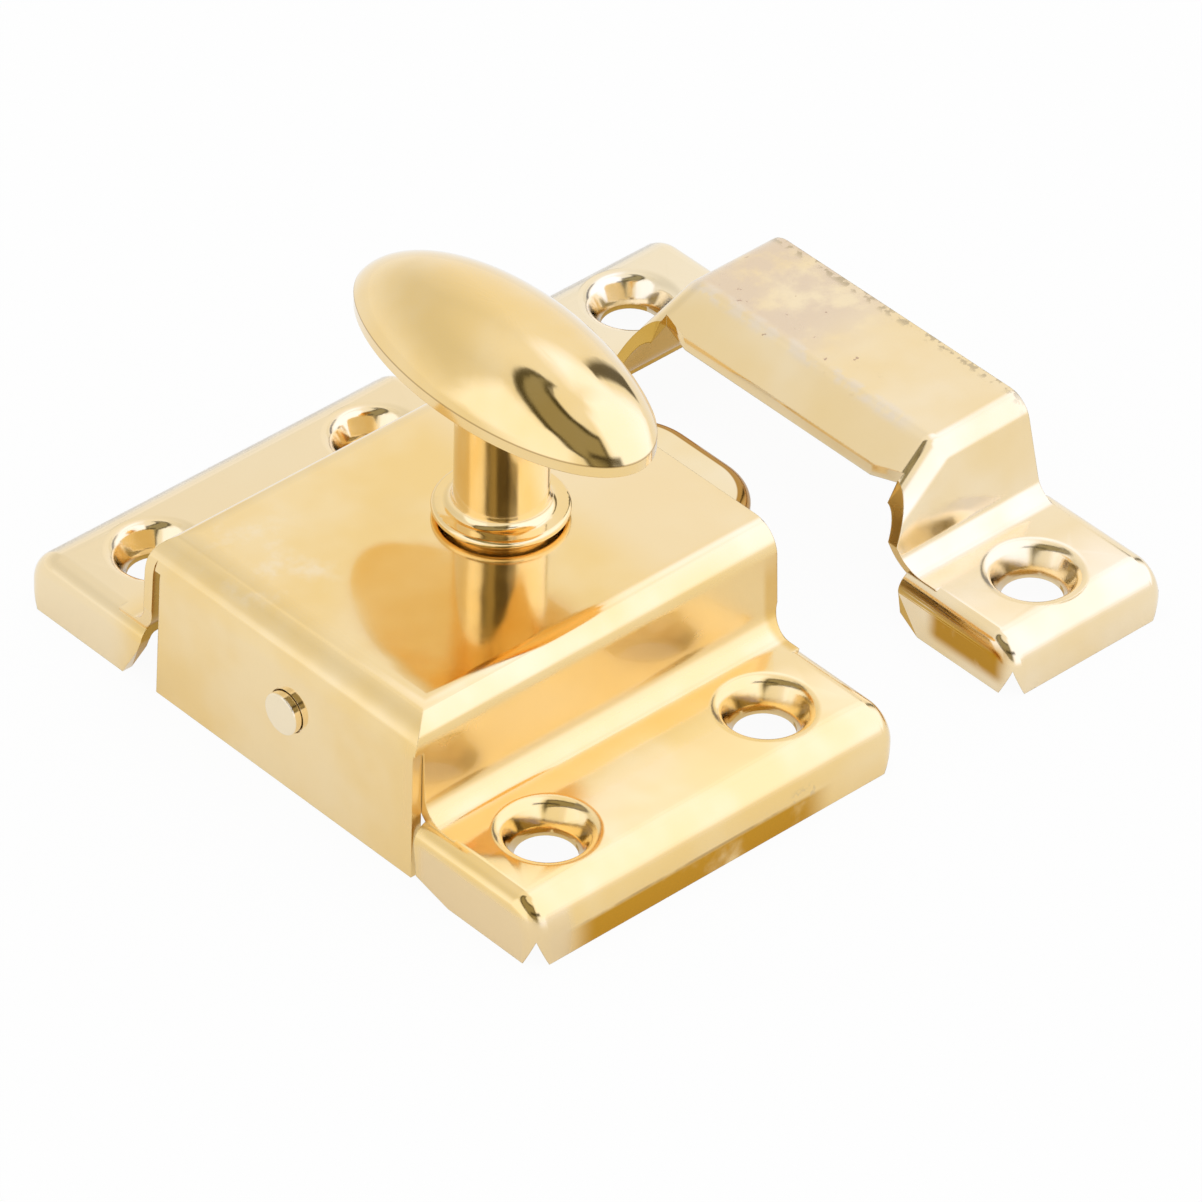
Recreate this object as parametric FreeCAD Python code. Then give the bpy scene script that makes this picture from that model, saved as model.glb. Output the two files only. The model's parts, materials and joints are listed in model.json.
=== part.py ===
import FreeCAD, Part
import math
import os

os.makedirs("parts", exist_ok=True)

# Cupboard turn latch and its strike, in millimetres. X is the bolt's travel, Z rises from the mounting face.

# Shared by both pressed pieces
sheet = 0.8
overall_y = 50.2
flange_bend = 2.6
flange_end_bend = 1.4
foot_bend = 1.9
notch_width = 1.7
notch_height = 2.0
end_tilt = 0.8

# Dished screw holes
hole_r = 2.1
dish_r = 3.1
dish_depth = 1.9
hole_trim = 0.15
dish_shoulder = 1.0
dish_outer_r = 3.75

# Case
case_x_len = 31.75
case_z = 12.4
case_flange_z = 4.6
top_y = 26.0
wall_foot_y = 26.8
top_bend = 2.2
case_hole_x = 19.05
case_hole_y = 38.1
flap_set = 0.2
flap_bend = 3.0
flap_lift = 0.1
flap_gap_foot = 0.15
flap_gap_top = 0.55
flap_gap_front = 0.04
flap_tilt = 0.4
slit_below_top = 2.4
front_cut_y = 3.4
front_cut_z = 0.8
rear_cut_y = 1.8
rear_cut_z = 2.6

# Strike
strike_x_len = 14.3
strike_gap = 10.2
strike_z = 11.1
strike_flange_z = 4.0
bridge_y = 24.6
riser_foot_y = 28.4
bridge_bend = 2.0
bridge_set = 1.2
strike_hole_y = 39.2
lip_from_edge = 7.8
lip_len = 3.7
lip_slope = 31.0
ramp_run = 9.0
lip_end_y = 18.0
relief_x = 0.6
relief_y = 23.0
riser_edge_set = 0.2
riser_corner_set = 2.2
riser_corner_z = 9.2
foot_cut_y = 2.0
foot_cut_z = 1.1

# Knob, cam and washer
knob_back = 12.4
head_len = 27.0
head_x = 12.2
head_rim = 0.8
head_crown = 4.4
head_under_z = 23.85
head_turn = -2.7
stem_r = 3.17
stem_flare = 0.7
collar_r = 4.6
collar_z = 0.65
collar_edge = 0.3
neck_r = 3.9
neck_z = 0.3
spindle_r = 2.0
square = 2.8
pin_r = 1.4
pin_head_r = 2.0
pin_head_z = 0.55
pin_head_edge = 0.3
cam_flat = 3.4
cam_rate = 5.4
cam_front = 3.6
cam_reach = 66.0
cam_tip_r = 0.5
washer_r = 3.0
washer_z = 1.0

# Bolt and spring
turn = 60.0
bolt_top_z = 8.6
nose_out = 6.1
nose_y = 14.4
nose_z = 4.8
nose_corner = 5.0
nose_edge = 0.9
nose_clear = 0.6
plate_z = 2.0
plate_y = 12.0
back_wall = 2.0
back_y = 13.6
back_low_z = 4.3
rod_r = 1.5
rod_y = -0.9
rod_z = 6.4
rod_out = 0.6
rod_edge = 0.12
spring_r = 2.3
wire_r = 0.28
spring_turns = 6.0

# Fits
running = 0.08
slide = 0.15
press = 0.02

# Places that follow from the sizes above
rod_past_case = rod_out - flap_set
total_x = rod_past_case + case_x_len + strike_gap + strike_x_len
case_x0 = -total_x / 2 + rod_past_case
case_x1 = case_x0 + case_x_len
case_mid = (case_x0 + case_x1) / 2
flap_x = case_x0 + flap_set
strike_x1 = total_x / 2
strike_x0 = strike_x1 - strike_x_len
strike_mid = (strike_x0 + strike_x1) / 2
bridge_x1 = strike_x1 - bridge_set
lip_x = bridge_x1 - lip_from_edge
knob_x = case_x1 - knob_back
travel = cam_rate * math.radians(turn)
top_under = case_z - sheet
cam_z0 = bolt_top_z + slide
cam_z1 = top_under - slide
plate_z0 = bolt_top_z - plate_z
washer_z1 = plate_z0 - slide
washer_z0 = washer_z1 - washer_z
back_x1 = knob_x - cam_flat - running
back_x0 = back_x1 - back_wall

origin = FreeCAD.Vector(0, 0, 0)
along_x = FreeCAD.Vector(1, 0, 0)
along_y = FreeCAD.Vector(0, 1, 0)
up = FreeCAD.Vector(0, 0, 1)


def in_yz(x):
    return lambda p: FreeCAD.Vector(x, p[0], p[1])


def in_xz(y):
    return lambda p: FreeCAD.Vector(p[0], y, p[1])


def in_xy(z):
    return lambda p: FreeCAD.Vector(p[0], p[1], z)


def unit(a, b):
    run = math.hypot(b[0] - a[0], b[1] - a[1])
    return ((b[0] - a[0]) / run, (b[1] - a[1]) / run)


# Edges along an open path whose inner corners are rounded, or left sharp where the radius is 0
def rounded(points, radii, place):
    edges = []
    start = points[0]
    for i, r in enumerate(radii):
        a, p, b = points[i], points[i + 1], points[i + 2]
        if r == 0:
            edges.append(Part.LineSegment(place(start), place(p)).toShape())
            start = p
            continue
        d1 = unit(a, p)
        d2 = unit(p, b)
        cross = d1[0] * d2[1] - d1[1] * d2[0]
        angle = abs(math.atan2(cross, d1[0] * d2[0] + d1[1] * d2[1]))
        reach = r * math.tan(angle / 2)
        p1 = (p[0] - d1[0] * reach, p[1] - d1[1] * reach)
        p2 = (p[0] + d2[0] * reach, p[1] + d2[1] * reach)
        side = math.copysign(1, cross)
        centre = (p1[0] - side * d1[1] * r, p1[1] + side * d1[0] * r)
        out = unit(centre, p)
        mid = (centre[0] + out[0] * r, centre[1] + out[1] * r)
        edges.append(Part.LineSegment(place(start), place(p1)).toShape())
        edges.append(Part.Arc(place(p1), place(mid), place(p2)).toShape())
        start = p2
    edges.append(Part.LineSegment(place(start), place(points[-1])).toShape())
    return edges


# The same path moved to its left by a distance, with the radii that keep both paths parallel
def offset(points, radii, by):
    moved = []
    last = len(points) - 1
    for i, p in enumerate(points):
        d1 = unit(points[max(i - 1, 0)], points[max(i, 1)])
        d2 = unit(points[min(i, last - 1)], points[min(i + 1, last)])
        k = by / (1 + d1[0] * d2[0] + d1[1] * d2[1])
        moved.append((p[0] - (d1[1] + d2[1]) * k, p[1] + (d1[0] + d2[0]) * k))
    new_radii = []
    for i, r in enumerate(radii):
        d1 = unit(points[i], points[i + 1])
        d2 = unit(points[i + 1], points[i + 2])
        new_radii.append(r - by if d1[0] * d2[1] > d1[1] * d2[0] else r + by)
    return moved, new_radii


def face_of(edges):
    return Part.Face(Part.Wire(Part.__sortEdges__(edges)))


# Section of bent sheet: the path is the outer face and the metal lies to its left
def strip_face(points, radii, place):
    inner, inner_radii = offset(points, radii, sheet)
    edges = rounded(points, radii, place) + rounded(inner, inner_radii, place)
    for end in (0, -1):
        edges.append(Part.LineSegment(place(points[end]), place(inner[end])).toShape())
    return face_of(edges)


# Face under a path, closed straight from its last point to its first
def under_face(points, radii, place):
    edges = rounded(points, radii, place)
    edges.append(Part.LineSegment(place(points[-1]), place(points[0])).toShape())
    return face_of(edges)


def polygon(points, place):
    return Part.Face(Part.makePolygon([place(p) for p in points] + [place(points[0])]))


def block(x0, x1, y0, y1, z0, z1):
    return Part.makeBox(x1 - x0, y1 - y0, z1 - z0, FreeCAD.Vector(x0, y0, z0))


# Straight edges of a block whose middle has the given coordinates
def edges_at(solid, **at):
    found = []
    for edge in solid.Edges:
        middle = edge.BoundBox.Center
        if all(abs(getattr(middle, axis) - value) < 1e-6 for axis, value in at.items()):
            found.append(edge)
    return found


def mirrored(shape):
    return shape.mirror(origin, along_y)


# Filled form of one flange, open towards -Y: a wide bend along its outside and tighter ones at both ends
def flange_form(x0, x1, y0, z1, inset):
    past = 1.0 if inset else 0.0
    x0 = x0 + inset
    x1 = x1 - inset
    y1 = overall_y / 2 - inset
    z1 = z1 - inset
    form = block(x0, x1, y0 - past, y1, -past, z1)
    form = form.makeFillet(flange_bend - inset, edges_at(form, y=y1, z=z1))
    ends = []
    for edge in form.Edges:
        box = edge.BoundBox
        if box.XLength < 1e-6 and box.YMax > y0 - past + 1e-4 and box.ZMax > -past + 1e-4:
            ends.append(edge)
    return form.makeFillet(flange_end_bend - inset, ends)


# Flange with turned-down lips on the +Y side, notched at its outer corners and cut back beside the wall
def flange(x0, x1, y0, z1, cut_y, cut_z):
    tray = flange_form(x0, x1, y0, z1, 0.0).cut(flange_form(x0, x1, y0, z1, sheet))
    half = notch_width / 2
    for x, angle in ((x0, 135), (x1, 45)):
        vee = polygon([(-half, -0.01), (half, -0.01), (0, notch_height)], in_yz(-2.0)).extrude(along_x * 4.0)
        vee.rotate(origin, up, angle)
        vee.translate(FreeCAD.Vector(x, overall_y / 2, 0))
        tray = tray.cut(vee)
    low = z1 - sheet - 0.4
    foot = y0 + cut_y
    corner = [(y0 - 1, -1), (foot, -1), (foot, 0), (y0 + 0.3, cut_z), (y0, low), (y0 - 1, low)]
    return tray.cut(polygon(corner, in_yz(x0 - 1)).extrude(along_x * (x1 - x0 + 2)))


# Outer path of the hat section, from the +Y foot over the top to the -Y foot
def hat_path(low_y, high_y, foot_z, z1):
    low = low_y / 2
    high = high_y / 2
    foot = low + foot_bend + 0.8
    return [(foot, foot_z), (low, foot_z), (high, z1), (-high, z1), (-low, foot_z), (-foot, foot_z)]


# Pressed cones for countersunk screws, each with its hole punched straight through
def dished(piece, places, z1):
    trim_z = hole_trim * dish_depth / (dish_r - hole_r)
    path = [(dish_outer_r, z1), (dish_r, z1), (hole_r - hole_trim, z1 - dish_depth - trim_z)]
    for x, y in places:
        ring = strip_face(path, [dish_shoulder], in_xz(0.0)).revolve(origin, up, 360)
        ring = ring.cut(Part.makeCylinder(hole_r, z1))
        ring.translate(FreeCAD.Vector(x, y, 0))
        piece = piece.cut(Part.makeCylinder(dish_outer_r, 3.0, FreeCAD.Vector(x, y, z1 - 2.0)))
        piece = piece.fuse(ring)
    return piece.removeSplitter()


def make_case():
    path = hat_path(wall_foot_y, top_y, case_flange_z, case_z)
    radii = [foot_bend, top_bend, top_bend, foot_bend]
    hood = strip_face(path, radii, in_yz(flap_x)).extrude(along_x * (case_x1 - flap_x))
    # Side view of the hood: its walls follow the flap's bend and draw in a little at their feet.
    low = case_flange_z - sheet
    bend_z = case_flange_z + foot_bend
    side_view = [(case_x1 - end_tilt, low), (case_x1, bend_z), (case_x1, case_z), (flap_x, case_z),
                 (flap_x, bend_z), (flap_x + flap_tilt, low)]
    side_form = under_face(side_view, [0, 0, flap_bend, 0], in_xz(-overall_y))
    hood = hood.common(side_form.extrude(along_y * (2 * overall_y)))
    # The flap folds down from the top plate, past the front wall's end and beside the rear wall.
    inner = top_y / 2 - sheet
    edge = -top_y / 2
    slit_z1 = case_z - slit_below_top
    hood = hood.cut(block(flap_x - 1, flap_x + sheet + flap_gap_front, -overall_y, -inner, 0, slit_z1))
    flap_path = [(flap_x + flap_bend + 1.0, case_z), (flap_x, case_z), (flap_x, flap_lift)]
    flap = strip_face(flap_path, [flap_bend], in_xz(edge)).extrude(along_y * (inner - edge))
    filled = under_face(path, radii, in_yz(flap_x)).extrude(along_x * case_x_len)
    flap = flap.common(filled.fuse(block(flap_x - 1, case_x1, edge, inner, 0, case_flange_z + 1)))
    slit = [(inner + 1, slit_z1), (inner - flap_gap_top, slit_z1), (inner - flap_gap_foot, 0), (inner + 1, 0)]
    flap = flap.cut(polygon(slit, in_yz(flap_x - 1)).extrude(along_x * (1 + 2 * sheet)))
    rear = flange(case_x0, case_x1, wall_foot_y / 2, case_flange_z, rear_cut_y, rear_cut_z)
    front = mirrored(flange(case_x0, case_x1, wall_foot_y / 2, case_flange_z, front_cut_y, front_cut_z))
    case = hood.fuse([flap, rear, front])
    dx = case_hole_x / 2
    dy = case_hole_y / 2
    case = dished(case, [(case_mid + i * dx, j * dy) for i in (-1, 1) for j in (-1, 1)], case_flange_z)
    spindle_hole = Part.makeCylinder(spindle_r + running, 4.0, FreeCAD.Vector(knob_x, 0, top_under - 2.0))
    rod_at = FreeCAD.Vector(flap_x - 2, rod_y, rod_z)
    return case.cut(spindle_hole).cut(Part.makeCylinder(rod_r + running, 4.0, rod_at, along_x))


# Filled form of the strike's bridge, with the ramp running on past its lip and every bend rounded alike
def bridge_form(inset):
    hat = hat_path(riser_foot_y, bridge_y, strike_flange_z, strike_z)
    path = offset(hat, [0, 0, 0, 0], inset)[0]
    path = [(path[0][0], -9)] + path + [(path[-1][0], -9)]
    form = under_face(path, [0, foot_bend + inset, 0, 0, foot_bend + inset, 0], in_yz(strike_x0 - 9))
    form = form.extrude(along_x * (strike_x_len + 18))
    slope = math.radians(lip_slope)
    top = strike_z - inset
    bend_x = lip_x + inset * math.tan(slope / 2)
    far = (bend_x - ramp_run * math.cos(slope), top - ramp_run * math.sin(slope))
    view = [(strike_x1 + 9, -9), (strike_x1 + 9, top), (bend_x, top), far, (far[0], -9)]
    form = form.common(polygon(view, in_xz(-overall_y)).extrude(along_y * (2 * overall_y)))
    bends = []
    for edge in form.Edges:
        box = edge.BoundBox
        long = box.XLength > 5 or box.YLength > 5
        along_top = box.ZMin > top - 1e-4 and box.XMin < strike_x1 + 8
        beside_ramp = box.ZLength > 1 and abs(box.ZMax - top) < 1e-4 and abs(box.XMax - bend_x) < 1e-4
        if (along_top and long) or beside_ramp:
            bends.append(edge)
    return form.makeFillet(bridge_bend - inset, bends)


def make_strike():
    slope = math.radians(lip_slope)
    lip_x0 = lip_x - lip_len * math.cos(slope)
    edge_x = strike_x0 + riser_edge_set
    corner_x = strike_x0 + riser_corner_set
    low = strike_flange_z - sheet
    bend_z = strike_flange_z + foot_bend
    # Side view of the risers, whose edges lean towards the bolt
    view = [(bridge_x1, low), (bridge_x1, strike_z), (corner_x, strike_z), (corner_x, riser_corner_z),
            (edge_x, bend_z), (edge_x + end_tilt, low)]
    trim = polygon(view, in_xz(-overall_y)).extrude(along_y * (2 * overall_y))
    bridge = bridge_form(0.0).cut(bridge_form(sheet)).common(trim)
    # Seen from above, the lip ends short of the risers' corners, with a relief notch on both sides.
    tip = lip_end_y / 2
    root = relief_y / 2
    notch_x = lip_x0 + relief_x
    off = [(corner_x - 9, -root), (notch_x, -root), (lip_x0, -tip), (lip_x0, tip), (notch_x, root),
           (corner_x - 9, root)]
    bridge = bridge.cut(polygon(off, in_xy(bend_z)).extrude(up * strike_z))
    side = flange(strike_x0, strike_x1, riser_foot_y / 2, strike_flange_z, foot_cut_y, foot_cut_z)
    strike = bridge.fuse([side, mirrored(side)])
    hole_y = strike_hole_y / 2
    return dished(strike, [(strike_mid, hole_y), (strike_mid, -hole_y)], strike_flange_z)


def make_knob():
    # Head: a slice of a ball drawn out along its length, on a thin rim
    half_y = head_len / 2
    half_x = head_x / 2
    ball_r = (half_x ** 2 + head_crown ** 2) / (2 * head_crown)
    ball = Part.makeSphere(ball_r, FreeCAD.Vector(0, 0, head_crown - ball_r))
    ball = ball.common(block(-head_x, head_x, -head_x, head_x, 0, head_x))
    draw_out = FreeCAD.Matrix()
    draw_out.scale(FreeCAD.Vector(1, half_y / half_x, 1))
    crown = ball.transformGeometry(draw_out)
    crown.translate(FreeCAD.Vector(0, 0, head_under_z + head_rim))
    at = in_xy(head_under_z)
    oval = Part.Ellipse(at((0, half_y)), at((half_x, 0)), at((0, 0)))
    rim = Part.Face(Part.Wire(oval.toShape())).extrude(up * head_rim)
    head = crown.fuse(rim).removeSplitter()
    head.rotate(origin, up, head_turn)
    # Stem with its flared foot, a thin collar on a short neck, and the spindle below the case's top plate
    ring_z = case_z + neck_z
    foot_z = ring_z + collar_z
    stem_path = [(0, head_under_z + 0.5), (stem_r, head_under_z + 0.5), (stem_r, foot_z), (collar_r, foot_z),
                 (collar_r, ring_z), (neck_r, ring_z), (neck_r, case_z), (spindle_r, case_z),
                 (spindle_r, cam_z1), (0, cam_z1)]
    place = in_xz(0.0)
    profile = rounded(stem_path[1:6], [stem_flare, collar_edge, collar_edge], place)
    for a, b in ((0, 1), (5, 6), (6, 7), (7, 8), (8, 9), (9, 0)):
        profile.append(Part.LineSegment(place(stem_path[a]), place(stem_path[b])).toShape())
    stem = face_of(profile).revolve(origin, up, 360)
    half = square / 2
    key = block(-half, half, -half, half, cam_z0, cam_z1)
    pin = Part.makeCylinder(pin_r, cam_z0 - washer_z0, FreeCAD.Vector(0, 0, washer_z0))
    peened_z0 = washer_z0 - pin_head_z
    peened = Part.makeCylinder(pin_head_r, pin_head_z, FreeCAD.Vector(0, 0, peened_z0))
    under = [e for e in peened.Edges if abs(e.BoundBox.ZMax - peened_z0) < 1e-6]
    peened = peened.makeFillet(pin_head_edge, under)
    knob = head.fuse([stem, key, pin, peened]).removeSplitter()
    knob.translate(along_x * knob_x)
    return knob


def make_cam():
    # Each flank keeps cam_flat + cam_rate * angle from the axis, so the bolt moves evenly with the knob.
    flank = []
    steps = 6
    for i in range(steps + 1):
        a = math.radians(cam_reach) * i / steps
        h = cam_flat + cam_rate * a
        flank.append((-h * math.cos(a) + cam_rate * math.sin(a), h * math.sin(a) + cam_rate * math.cos(a)))
    at = in_xy(cam_z0)
    edges = []
    for side in (1, -1):
        curve = Part.BSplineCurve()
        curve.interpolate([at((x, side * y)) for x, y in flank])
        edges.append(curve.toShape())
    root = flank[0]
    tip = flank[-1]
    edges.append(Part.LineSegment(at(root), at((root[0], -root[1]))).toShape())
    edges.append(Part.Arc(at(tip), at((cam_front, 0)), at((tip[0], -tip[1]))).toShape())
    cam = face_of(edges).extrude(up * (cam_z1 - cam_z0))
    tips = [e for e in cam.Edges if e.BoundBox.ZLength > 1 and abs(abs(e.BoundBox.Center.y) - tip[1]) < 1e-3]
    cam = cam.makeFillet(cam_tip_r, tips)
    half = square / 2 + press
    cam = cam.cut(block(-half, half, -half, half, cam_z0 - 1, cam_z1 + 1))
    cam.translate(along_x * knob_x)
    return cam


def make_washer():
    ring = Part.makeCylinder(washer_r, washer_z, FreeCAD.Vector(knob_x, 0, washer_z0))
    below = FreeCAD.Vector(knob_x, 0, washer_z0 - washer_z)
    return ring.cut(Part.makeCylinder(pin_r + press, 3 * washer_z, below))


def make_bolt():
    tip_x = case_x1 + nose_out
    nose_x0 = knob_x + travel + washer_r + nose_clear
    half = nose_y / 2
    nose = block(nose_x0, tip_x, -half, half, bolt_top_z - nose_z, bolt_top_z)
    nose = nose.makeFillet(nose_corner, edges_at(nose, x=tip_x, y=half) + edges_at(nose, x=tip_x, y=-half))
    rim = [e for e in nose.Edges if e.BoundBox.ZLength < 1e-6 and e.BoundBox.XMax > nose_x0 + 1e-6]
    nose = nose.makeFillet(nose_edge, rim)
    plate = block(back_x0, nose_x0 + 2.0, -plate_y / 2, plate_y / 2, plate_z0, bolt_top_z)
    wall = block(back_x0, back_x1, -back_y / 2, back_y / 2, back_low_z, cam_z1)
    rod_x0 = flap_x - rod_out
    rod = Part.makeCylinder(rod_r, back_x0 + 0.5 - rod_x0, FreeCAD.Vector(rod_x0, rod_y, rod_z), along_x)
    rod = rod.makeFillet(rod_edge, [e for e in rod.Edges if abs(e.BoundBox.XMax - rod_x0) < 1e-6])
    bolt = nose.fuse([plate, wall, rod]).removeSplitter()
    slot_r = pin_r + running
    slot = block(knob_x, knob_x + travel, -slot_r, slot_r, plate_z0 - 1, bolt_top_z + 1)
    for x in (knob_x, knob_x + travel):
        slot = slot.fuse(Part.makeCylinder(slot_r, plate_z + 2, FreeCAD.Vector(x, 0, plate_z0 - 1)))
    return bolt.cut(slot.removeSplitter())


def make_spring():
    x0 = flap_x + sheet + wire_r
    length = back_x0 - wire_r - x0
    helix = Part.makeHelix(length / spring_turns, length, spring_r)
    wire = Part.Wire(Part.makeCircle(wire_r, FreeCAD.Vector(spring_r, 0, 0), along_y))
    spring = Part.Wire(helix).makePipeShell([wire], True, True)
    spring.rotate(origin, along_y, 90)
    spring.translate(FreeCAD.Vector(x0, rod_y, rod_z))
    return spring


for name, make in (("case", make_case), ("knob", make_knob), ("cam", make_cam), ("washer", make_washer),
                   ("bolt", make_bolt), ("spring", make_spring), ("strike", make_strike)):
    shape = make()
    print(name, len(shape.Solids), shape.isValid(), round(shape.Volume, 1))
    shape.Solids[0].exportStep("parts/" + name + ".step")
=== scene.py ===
import json
import math
import bmesh
import bpy
from mathutils import Matrix, Vector


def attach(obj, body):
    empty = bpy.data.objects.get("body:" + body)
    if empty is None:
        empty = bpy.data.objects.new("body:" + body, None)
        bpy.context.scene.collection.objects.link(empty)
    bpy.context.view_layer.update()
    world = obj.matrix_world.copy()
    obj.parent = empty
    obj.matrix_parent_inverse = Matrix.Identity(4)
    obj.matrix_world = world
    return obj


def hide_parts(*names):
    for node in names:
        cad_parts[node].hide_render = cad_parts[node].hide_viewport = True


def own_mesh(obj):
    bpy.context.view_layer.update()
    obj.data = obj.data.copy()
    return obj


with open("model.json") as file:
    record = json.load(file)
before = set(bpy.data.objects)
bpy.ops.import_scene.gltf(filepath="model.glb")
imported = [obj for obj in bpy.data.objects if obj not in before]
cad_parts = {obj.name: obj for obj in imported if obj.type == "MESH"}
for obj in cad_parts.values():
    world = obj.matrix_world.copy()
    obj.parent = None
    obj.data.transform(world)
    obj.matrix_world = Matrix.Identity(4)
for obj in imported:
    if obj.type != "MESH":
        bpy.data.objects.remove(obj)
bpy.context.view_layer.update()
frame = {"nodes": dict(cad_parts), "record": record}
print("frame loaded:", ", ".join(sorted(frame["nodes"])))


# node and object helpers

def addNode(tree, kind, **sockets):
    node = tree.nodes.new(kind)
    for name, value in sockets.items():
        node.inputs[name].default_value = value
    return node


def remap(tree, value, low, high, toLow, toHigh):
    node = tree.nodes.new("ShaderNodeMapRange")
    node.interpolation_type = "SMOOTHSTEP"
    tree.links.new(value, node.inputs["Value"])
    limits = {"From Min": low, "From Max": high, "To Min": toLow, "To Max": toHigh}
    for name, number in limits.items():
        node.inputs[name].default_value = number
    return node.outputs["Result"]


def mathNode(tree, operation, *values):
    node = tree.nodes.new("ShaderNodeMath")
    node.operation = operation
    for i, value in enumerate(values):
        if isinstance(value, (int, float)):
            node.inputs[i].default_value = value
        else:
            tree.links.new(value, node.inputs[i])
    return node.outputs["Value"]


def mixColour(tree, factor, first, second):
    node = tree.nodes.new("ShaderNodeMix")
    node.data_type = "RGBA"
    tree.links.new(factor, node.inputs["Factor"])
    for name, colour in (("A", first), ("B", second)):
        if isinstance(colour, tuple):
            node.inputs[name].default_value = (*colour, 1)
        else:
            tree.links.new(colour, node.inputs[name])
    return node.outputs["Result"]


def emptyMaterial(name):
    material = bpy.data.materials.new(name)
    material.use_nodes = True
    material.node_tree.nodes.clear()
    return material


def mixedSurface(tree, share, first, second):
    mix = tree.nodes.new("ShaderNodeMixShader")
    tree.links.new(share, mix.inputs["Fac"])
    tree.links.new(first, mix.inputs[1])
    tree.links.new(second, mix.inputs[2])
    out = tree.nodes.new("ShaderNodeOutputMaterial")
    tree.links.new(mix.outputs["Shader"], out.inputs["Surface"])


def placed(name, data):
    thing = bpy.data.objects.new(name, data)
    bpy.context.scene.collection.objects.link(thing)
    return thing


# values that all the platings share

plating = {"noiseRough": 0.55, "blotchDetail": 3, "blotchRange": (0.35, 0.68),
           "hazeDetail": 4, "hazeRange": (0.3, 0.7), "waveDetail": 2, "zoneDetail": 5,
           "coatRough": 0.04, "edgeSamples": 4, "mmPerMetre": 1000}


def noiseAt(tree, coords, scale, detail):
    noise = addNode(tree, "ShaderNodeTexNoise", Scale=scale, Detail=detail,
                    Roughness=plating["noiseRough"])
    tree.links.new(coords, noise.inputs["Vector"])
    return noise.outputs["Fac"]


# how far a coordinate lies past a limit, or 0 short of it

def pastLimit(tree, coordinate, limit):
    past = mathNode(tree, "SUBTRACT", coordinate, limit)
    return mathNode(tree, "MAXIMUM", past, 0.0)


# soft-edged box in the piece's own millimetres,
# kept to a rounded tip's rim or broken up by noise where the zone asks for it

def zoneMask(tree, coords, axes, zone):
    mask = None
    for axis, output in zip("xyz", axes):
        if axis not in zone:
            continue
        low, high, soft = (v / plating["mmPerMetre"] for v in zone[axis])
        rise = remap(tree, output, low - soft, low + soft, 0, 1)
        fall = remap(tree, output, high - soft, high + soft, 1, 0)
        side = mathNode(tree, "MULTIPLY", rise, fall)
        mask = side if mask is None else mathNode(tree, "MULTIPLY", mask, side)
    if "rim" in zone:
        tip, half, corner, width, soft = (v / plating["mmPerMetre"] for v in zone["rim"])
        along = pastLimit(tree, axes[0], tip - corner)
        aside = pastLimit(tree, mathNode(tree, "ABSOLUTE", axes[1]), half - corner)
        square = mathNode(tree, "MULTIPLY", aside, aside)
        reach = mathNode(tree, "SQRT", mathNode(tree, "MULTIPLY_ADD", along, along, square))
        rimStart = corner - width
        rim = remap(tree, reach, rimStart - soft, rimStart + soft, 0, 1)
        mask = mathNode(tree, "MULTIPLY", mask, rim)
    if "grain" in zone:
        ragged = noiseAt(tree, coords, zone["grain"], plating["zoneDetail"])
        mask = mathNode(tree, "MULTIPLY", mask, remap(tree, ragged, *zone["gate"], 0, 1))
    return mathNode(tree, "MULTIPLY", mask, zone.get("share", 1.0))


# polished plating: soft blotches in colour and haze, worn places, and zones of painted shade,
# painted sheen and painted reflections, and as bump the waves and the crown of pressed sheet

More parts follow.
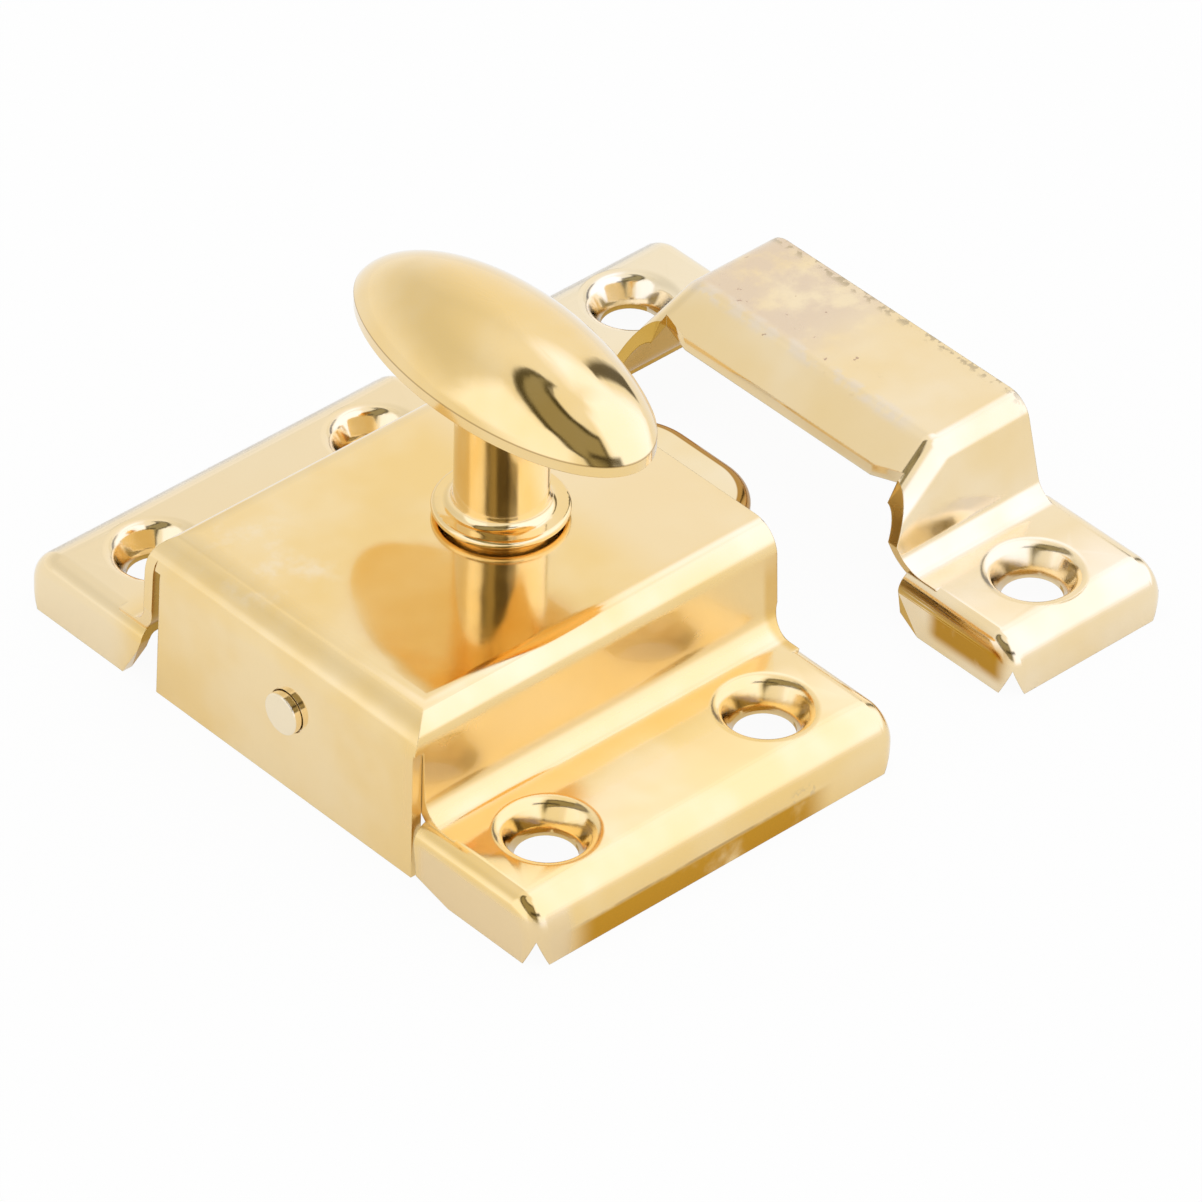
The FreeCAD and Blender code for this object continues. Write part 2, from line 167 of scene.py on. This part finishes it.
def brassPlating(name, look):
    material = bpy.data.materials.new(name)
    material.use_nodes = True
    tree = material.node_tree
    shader = tree.nodes["Principled BSDF"]
    shader.inputs["Metallic"].default_value = 1.0
    shader.inputs["Coat Weight"].default_value = look["lacquer"]
    shader.inputs["Coat Roughness"].default_value = plating["coatRough"]
    coords = tree.nodes.new("ShaderNodeTexCoord").outputs["Object"]
    split = tree.nodes.new("ShaderNodeSeparateXYZ")
    tree.links.new(coords, split.inputs["Vector"])
    axes = [split.outputs[axis] for axis in "XYZ"]
    blotch = noiseAt(tree, coords, look["blotchScale"], plating["blotchDetail"])
    pale = remap(tree, blotch, *plating["blotchRange"], 0, 1)
    colour = mixColour(tree, pale, look["gold"], look["paleGold"])
    haze = noiseAt(tree, coords, look["hazeScale"], plating["hazeDetail"])
    rough = remap(tree, haze, *plating["hazeRange"], look["smooth"], look["hazy"])
    for zone in look.get("zones", ()):
        mask = zoneMask(tree, coords, axes, zone)
        colour = mixColour(tree, mask, colour, zone["colour"])
        if "rough" in zone:
            rough = mathNode(tree, "MULTIPLY_ADD", mask, zone["rough"], rough)
        # a zone of painted shade can also take the lacquer coat off, so that the painted dark
        # stays dark
        if "uncoatedShade" in zone:
            lacquer = mathNode(tree, "MULTIPLY_ADD", mask, -look["lacquer"], look["lacquer"])
            tree.links.new(lacquer, shader.inputs["Coat Weight"])
    tree.links.new(colour, shader.inputs["Base Color"])
    tree.links.new(rough, shader.inputs["Roughness"])
    wave = noiseAt(tree, coords, look["waveScale"], plating["waveDetail"])
    height = mathNode(tree, "MULTIPLY", wave, look["waveDepth"])
    if "crownFrom" in look:
        outward = pastLimit(tree, mathNode(tree, "ABSOLUTE", axes[1]), look["crownFrom"])
        square = mathNode(tree, "MULTIPLY_ADD", outward, outward, look["crownEase"] ** 2)
        eased = mathNode(tree, "SQRT", square)
        height = mathNode(tree, "MULTIPLY_ADD", eased, -look["crown"], height)
    worn = tree.nodes.new("ShaderNodeBevel")
    worn.samples = plating["edgeSamples"]
    worn.inputs["Radius"].default_value = look["softEdge"]
    bump = addNode(tree, "ShaderNodeBump", Strength=1.0, Distance=1.0)
    tree.links.new(worn.outputs["Normal"], bump.inputs["Normal"])
    tree.links.new(height, bump.inputs["Height"])
    tree.links.new(bump.outputs["Normal"], shader.inputs["Normal"])
    return material


caseLook = {
    "gold": (0.92, 0.645, 0.24), "paleGold": (0.95, 0.73, 0.38),
    "blotchScale": 90, "hazeScale": 160, "smooth": 0.08, "hazy": 0.17,
    "waveScale": 130, "waveDepth": 0.00006, "lacquer": 1.0,
    "crownFrom": 0.0150, "crown": 0.20, "crownEase": 0.003, "softEdge": 0.00012,
    "zones": (
        # painted sheen: the rear flange paler
        {"y": (15.5, 30, 1.5), "colour": (0.95, 0.77, 0.48), "share": 0.8},
        # painted sheen: a paler band across the top plate around the knob
        {"x": (-5.5, 5, 2.5), "y": (-12, 13, 1.5), "z": (11.2, 13, 0.3),
         "colour": (0.95, 0.79, 0.53), "share": 0.55},
        {"x": (-28, -20, 2.0), "y": (2, 13, 2.0), "z": (11.5, 13, 0.3),
         "grain": 300, "gate": (0.48, 0.70),
         "colour": (0.95, 0.80, 0.56), "rough": 0.06, "share": 0.7},
        # front wall rougher, and deeper orange as a painted reflection of the gold flange
        {"y": (-14, -12.2, 0.3), "z": (4, 11, 0.8),
         "colour": (0.95, 0.67, 0.26), "rough": 0.22, "share": 0.8},
        # painted reflection: a deep orange strip at the front wall's right end
        {"x": (2.7, 4.4, 0.3), "y": (-16, -11.8, 0.3), "z": (3.6, 9.6, 1.4),
         "colour": (0.80, 0.48, 0.09), "share": 0.8},
        {"x": (-30, -24.8, 0.5), "y": (-27, -14, 0.6), "z": (-1, 3.5, 0.3),
         "colour": (0.90, 0.68, 0.36), "rough": 0.26, "share": 0.9},
        # painted shade: the front lip's lower part dark orange-brown, standing in for its shadow
        # on the floor reflected in it, with no lacquer coat
        {"x": (-24.2, -3.4, 1.6), "y": (-30, -24.4, 0.3), "z": (-1, 1.80, 0.20),
         "grain": 260, "gate": (0.16, 0.52), "colour": (0.58, 0.29, 0.015), "uncoatedShade": True},
        # painted reflection: a thin dark line along the front lip
        {"x": (-24.2, -6.0, 1.6), "y": (-30, -24.2, 0.3), "z": (1.76, 1.98, 0.08),
         "grain": 500, "gate": (0.30, 0.60), "colour": (0.44, 0.26, 0.06), "share": 0.7},
        {"x": (-5.6, -3.6, 0.4), "y": (-30, -24.0, 0.3), "z": (1.6, 2.6, 0.3),
         "grain": 1500, "gate": (0.50, 0.56),
         "colour": (0.66, 0.50, 0.26), "rough": 0.15, "share": 0.6},
    ),
}
strikeLook = {
    "gold": (0.92, 0.70, 0.36), "paleGold": (0.95, 0.78, 0.51),
    "blotchScale": 90, "hazeScale": 160, "smooth": 0.08, "hazy": 0.20,
    "waveScale": 130, "waveDepth": 0.00006, "lacquer": 1.0,
    "crownFrom": 0.0160, "crown": 0.20, "crownEase": 0.003, "softEdge": 0.00012,
    "zones": (
        # painted sheen: the rear foot paler
        {"y": (15.5, 30, 1.0), "colour": (0.94, 0.82, 0.60), "share": 0.7},
        # painted shade: the front half of the ramp deeper gold
        {"x": (13, 18.9, 0.5), "y": (-12, -2, 4.0), "z": (8.4, 11.2, 0.3),
         "colour": (0.90, 0.67, 0.32), "share": 0.6},
        {"x": (19.6, 28, 0.6), "y": (1, 14, 3.0), "z": (9.4, 12, 0.3),
         "grain": 420, "gate": (0.28, 0.56),
         "colour": (0.78, 0.61, 0.44), "rough": 0.12, "share": 0.85},
        # worn ridge along the ramp's bend, its paler line partly a painted highlight
        {"x": (18.8, 19.9, 0.3), "y": (-9, 12, 1.0), "z": (9.6, 12, 0.3),
         "grain": 700, "gate": (0.40, 0.58),
         "colour": (0.84, 0.73, 0.60), "rough": 0.06, "share": 0.6},
        {"x": (26.5, 30, 0.3), "y": (-12, 14, 1.0), "z": (9.2, 12, 0.3),
         "grain": 1500, "gate": (0.48, 0.56),
         "colour": (0.52, 0.40, 0.22), "rough": 0.2, "share": 0.8},
        {"x": (18.6, 24, 0.5), "y": (-4, 12, 2.0), "z": (10.2, 12, 0.3),
         "grain": 1300, "gate": (0.68, 0.74),
         "colour": (0.44, 0.26, 0.17), "rough": 0.2, "share": 0.8},
        # painted shade: the front foot's end lip dark orange-brown, with no lacquer coat
        {"x": (13.5, 14.7, 0.2), "y": (-24.0, -17.4, 0.7), "z": (0.9, 3.2, 0.5),
         "grain": 300, "gate": (0.15, 0.42), "colour": (0.52, 0.26, 0.02), "uncoatedShade": True},
    ),
}
knobLook = {
    "gold": (0.92, 0.65, 0.25), "paleGold": (0.95, 0.73, 0.38),
    "blotchScale": 90, "hazeScale": 160, "smooth": 0.07, "hazy": 0.13,
    "waveScale": 150, "waveDepth": 0.00002, "lacquer": 1.0, "softEdge": 0.00006,
    "zones": (
        # painted shade: a thin dark line at the crease of the rim
        {"z": (24.60, 24.71, 0.04), "colour": (0.42, 0.25, 0.06), "share": 0.8},
    ),
}
boltLook = {
    "gold": (0.93, 0.73, 0.40), "paleGold": (0.95, 0.81, 0.56),
    "blotchScale": 90, "hazeScale": 160, "smooth": 0.10, "hazy": 0.20,
    "waveScale": 150, "waveDepth": 0.00003, "lacquer": 1.0, "softEdge": 0.0001,
    "zones": (
        # painted shade: a dark band round the nose's rim, with no lacquer coat
        {"x": (4.5, 12, 0.5), "z": (7.8, 10, 0.15), "rim": (9.925, 7.2, 5.0, 0.92, 0.06),
         "colour": (0.44, 0.21, 0.02), "uncoatedShade": True, "share": 0.95},
    ),
}
# the sheet's inside: rougher and unlacquered, and painted darker orange as shade
insideShadeLook = {
    "gold": (0.64, 0.38, 0.07), "paleGold": (0.72, 0.46, 0.13),
    "blotchScale": 90, "hazeScale": 160, "smooth": 0.20, "hazy": 0.34,
    "waveScale": 200, "waveDepth": 0.00003, "lacquer": 0.0, "softEdge": 0.00012,
}
steelLook = {
    "gold": (0.56, 0.54, 0.50), "paleGold": (0.66, 0.64, 0.60),
    "blotchScale": 120, "hazeScale": 200, "smooth": 0.25, "hazy": 0.40,
    "waveScale": 300, "waveDepth": 0.000004, "lacquer": 0.0, "softEdge": 0.00005,
}


# each CAD piece as a welded copy with smooth bends and crisp cut edges;
# the pressed pieces have a duller inside, painted darker as shade, and ends without the crown

pieceFinish = {
    "case": ("casePlating", caseLook, "case_brass"),
    "strike": ("strikePlating", strikeLook, "strike_brass"),
    "knob": ("knobPlating", knobLook, "knob_brass"),
    "bolt": ("boltPlating", boltLook, "bolt_brass"),
    "cam": ("camSteel", steelLook, "cam_steel"),
    "washer": ("washerSteel", steelLook, "cam_steel"),
    "spring": ("springSteel", steelLook, "spring_steel"),
}
weld = {"distance": 0.000004, "crispAngle": 34, "knobRim": 0.02465, "rimReach": 0.00002,
        "normalWeight": 90}
pressed = {"dishes": {"case": (-0.0253, 0.0015), "strike": (0.0170, 0.0252)},
           "down": -0.25, "aboveLips": 0.0012, "level": 0.2, "inward": 0.3,
           "riserEdge": -0.8, "riserAcross": (0.0115, 0.0172),
           "endTilt": 0.2, "footFrom": 0.0145}
outside, inside, footEnd = range(3)  # material slots of a pressed piece


# a face of the sheet's inside, which takes the painted shade: it looks down, or towards the
# middle between the two walls, or is a cut edge of the strike's risers, shaded the same way

def facesInside(face, node):
    centre = face.calc_center_median()
    if face.normal.z < pressed["down"]:
        return centre.z > pressed["aboveLips"]
    near, far = pressed["riserAcross"]
    if node == "strike" and face.normal.x < pressed["riserEdge"] and near < abs(centre.y) < far:
        return True
    inwards = face.normal.y * centre.y < -pressed["inward"] * abs(centre.y)
    return face.normal.z < pressed["level"] and inwards


# a face of the bends and lips at a foot's ends, past its dishes

def facesEnd(face, node):
    centre = face.calc_center_median()
    low, high = pressed["dishes"][node]
    onFoot = abs(centre.y) > pressed["footFrom"]
    return abs(face.normal.x) > pressed["endTilt"] and onFoot and not low < centre.x < high


def sheetSide(face, node):
    if facesInside(face, node):
        return inside
    return footEnd if facesEnd(face, node) else outside


def onKnobRim(edge):
    return all(abs(v.co.z - weld["knobRim"]) < weld["rimReach"] for v in edge.verts)


def weldedPiece(node, platings):
    mesh = frame["nodes"][node].data.copy()
    mesh.name = node + "Skin"
    mesh.materials.clear()
    for material in platings:
        mesh.materials.append(material)
    shape = bmesh.new()
    shape.from_mesh(mesh)
    bmesh.ops.remove_doubles(shape, verts=shape.verts, dist=weld["distance"])
    bmesh.ops.dissolve_degenerate(shape, edges=shape.edges, dist=weld["distance"])
    for face in shape.faces:
        face.smooth = True
        if node in pressed["dishes"]:
            face.material_index = sheetSide(face, node)
    limit = math.radians(weld["crispAngle"])
    for edge in shape.edges:
        edge.smooth = edge.is_manifold and edge.calc_face_angle() < limit
        if node == "knob" and onKnobRim(edge):
            edge.smooth = False
    shape.to_mesh(mesh)
    shape.free()
    piece = placed(node + "Piece", mesh)
    normals = piece.modifiers.new("evenNormals", "WEIGHTED_NORMAL")
    normals.keep_sharp = True
    normals.weight = weld["normalWeight"]
    bodies = frame["record"]["behaviour"]["bodies"]
    body = next(b for b, members in bodies.items() if node in members)
    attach(piece, body)
    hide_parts(node)
    return piece


insideShadePlating = brassPlating("insideShadePlating", insideShadeLook)
pieces = {}
for node, (platingName, look, slotName) in pieceFinish.items():
    platings = [brassPlating(platingName, look)]
    if node in pressed["dishes"]:
        flatLook = {key: value for key, value in look.items() if key != "crownFrom"}
        platings += [insideShadePlating, brassPlating(platingName + "Ends", flatLook)]
    pieces[node] = weldedPiece(node, platings)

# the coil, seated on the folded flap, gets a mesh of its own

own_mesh(pieces["spring"])
print("pieces dressed:", len(pieces))


# pale floor, almost white to the camera and half white in the metal,
# that keeps the object's soft shadow

floorLook = {"size": 6.0, "colour": (0.86, 0.86, 0.86), "whiteToCamera": 0.95,
             "whiteInMetal": 0.55}


def paleFloor():
    shape = bmesh.new()
    bmesh.ops.create_grid(shape, x_segments=1, y_segments=1, size=floorLook["size"] / 2)
    mesh = bpy.data.meshes.new("floor")
    shape.to_mesh(mesh)
    shape.free()
    material = emptyMaterial("paleFloor")
    tree = material.node_tree
    diffuse = addNode(tree, "ShaderNodeBsdfDiffuse", Color=(*floorLook["colour"], 1))
    glow = addNode(tree, "ShaderNodeEmission", Color=(1, 1, 1, 1), Strength=1.0)
    rays = tree.nodes.new("ShaderNodeLightPath").outputs
    share = mathNode(tree, "MULTIPLY", rays["Is Camera Ray"], floorLook["whiteToCamera"])
    for ray in ("Is Glossy Ray", "Is Transmission Ray"):
        share = mathNode(tree, "MULTIPLY_ADD", rays[ray], floorLook["whiteInMetal"], share)
    mixedSurface(tree, share, diffuse.outputs["BSDF"], glow.outputs["Emission"])
    mesh.materials.append(material)
    placed("floor", mesh)


paleFloor()


# plain white surround, and the studio cards that only the metal sees, each nearer than the last;
# azimuth 0 is +X and 90 is +Y, low and high are a card's heights at its two ends, in degrees

surround = {"level": 0.97}
cardShell = {"nearest": 0.46, "step": 0.01, "across": 24, "rise": 16}
gridHalf = 0.5
cards = {
    "softbox": {"azimuth": (-116, 8), "low": (3, 3), "high": (84, 84), "fade": 7,
                "colour": (1.22, 1.36, 1.85)},
    "softboxTop": {"azimuth": (-16, 66), "low": (26, 62), "high": (86, 86), "fade": 13,
                   "colour": (1.20, 1.32, 1.78)},
    "greyBack": {"azimuth": (50, 164), "low": (2, 2), "high": (66, 66), "fade": 26,
                 "colour": (0.79, 0.79, 0.78)},
    "leftCard": {"azimuth": (142, 202), "low": (2, 2), "high": (54, 38), "fade": 7,
                 "colour": (1.16, 1.24, 1.50)},
    "openingRim": {"azimuth": (104, 246), "low": (75, 9), "high": (84, 66), "fade": 2,
                   "colour": (0.07, 0.06, 0.03)},
    "opening": {"azimuth": (111, 240), "low": (78, 15), "high": (80, 61), "fade": 3,
                "colour": (0.34, 0.31, 0.20)},
    "lens": {"azimuth": (211, 267), "low": (31, 31), "high": (45, 45), "fade": 6,
             "colour": (0.06, 0.05, 0.03)},
    "seam": {"azimuth": (9, 20), "low": (2, 2), "high": (46, 46), "fade": 2.5,
             "colour": (0.14, 0.13, 0.11)},
}


def plainSurround():
    world = bpy.data.worlds.new("surround")
    bpy.context.scene.world = world
    world.use_nodes = True
    sky = world.node_tree.nodes["Background"]
    sky.inputs["Color"].default_value = (1, 1, 1, 1)
    sky.inputs["Strength"].default_value = surround["level"]


def between(ends, share):
    return ends[0] + (ends[1] - ends[0]) * share


# grid curved around the object, with its cover falling off towards the edges

def cardMesh(name, card, radius):
    shape = bmesh.new()
    cover = shape.verts.layers.float.new("cover")
    bmesh.ops.create_grid(shape, x_segments=cardShell["across"], y_segments=cardShell["rise"],
                          size=gridHalf)
    start, stop = card["azimuth"]
    for vert in shape.verts:
        along, up = vert.co.x + gridHalf, vert.co.y + gridHalf
        azimuth = between(card["azimuth"], along)
        low, high = between(card["low"], along), between(card["high"], along)
        height = between((low, high), up)
        turn, tilt = math.radians(azimuth), math.radians(height)
        flat = radius * math.cos(tilt)
        vert.co = (flat * math.cos(turn), flat * math.sin(turn), radius * math.sin(tilt))
        fromSides = min(azimuth - start, stop - azimuth) * math.cos(tilt)
        fromEdge = min(fromSides, height - low, high - height)
        vert[cover] = min(1.0, fromEdge / card["fade"])
    mesh = bpy.data.meshes.new(name)
    shape.to_mesh(mesh)
    shape.free()
    return mesh


def studioCard(name, card, radius):
    mesh = cardMesh(name, card, radius)
    material = emptyMaterial(name)
    tree = material.node_tree
    clear = tree.nodes.new("ShaderNodeBsdfTransparent")
    glow = addNode(tree, "ShaderNodeEmission", Color=(*card["colour"], 1), Strength=1.0)
    cover = tree.nodes.new("ShaderNodeAttribute")
    cover.attribute_name = "cover"
    mixedSurface(tree, cover.outputs["Fac"], clear.outputs["BSDF"], glow.outputs["Emission"])
    material.cycles.emission_sampling = "NONE"
    mesh.materials.append(material)
    thing = placed(name, mesh)
    thing.visible_camera = False
    thing.visible_diffuse = False
    thing.visible_shadow = False


plainSurround()
for i, (cardName, card) in enumerate(reversed(cards.items())):
    studioCard(cardName, card, cardShell["nearest"] + cardShell["step"] * i)
bpy.context.scene.view_settings.view_transform = "Standard"
print("floor and studio cards set")


# long-lens camera at the photograph's angle, slightly rolled

camera = {"azimuth": 43.41, "elevation": 38.25, "roll": 1.68, "distance": 0.7,
          "focalPixels": 10589.19, "imagePixels": 1202, "target": (0.00084, 0.00026, 0.0),
          "sensor": 36.0, "clipNear": 0.01, "clipFar": 20.0}


def photoCamera():
    az = math.radians(camera["azimuth"])
    el = math.radians(camera["elevation"])
    roll = math.radians(camera["roll"])
    back = Vector((-math.sin(az) * math.cos(el), -math.cos(az) * math.cos(el), math.sin(el)))
    right = Vector((math.cos(az), -math.sin(az), 0))
    upward = back.cross(right)
    turnedRight = right * math.cos(roll) + upward * math.sin(roll)
    turnedUp = upward * math.cos(roll) - right * math.sin(roll)
    data = bpy.data.cameras.new("photoCamera")
    data.sensor_width = camera["sensor"]
    data.lens = camera["focalPixels"] * data.sensor_width / camera["imagePixels"]
    data.clip_start = camera["clipNear"]
    data.clip_end = camera["clipFar"]
    viewer = placed("photoCamera", data)
    turn = Matrix((turnedRight, turnedUp, back)).transposed().to_4x4()
    place = Vector(camera["target"]) + back * camera["distance"]
    viewer.matrix_world = Matrix.Translation(place) @ turn
    bpy.context.scene.camera = viewer


photoCamera()
print("camera placed")

bpy.context.view_layer.update()
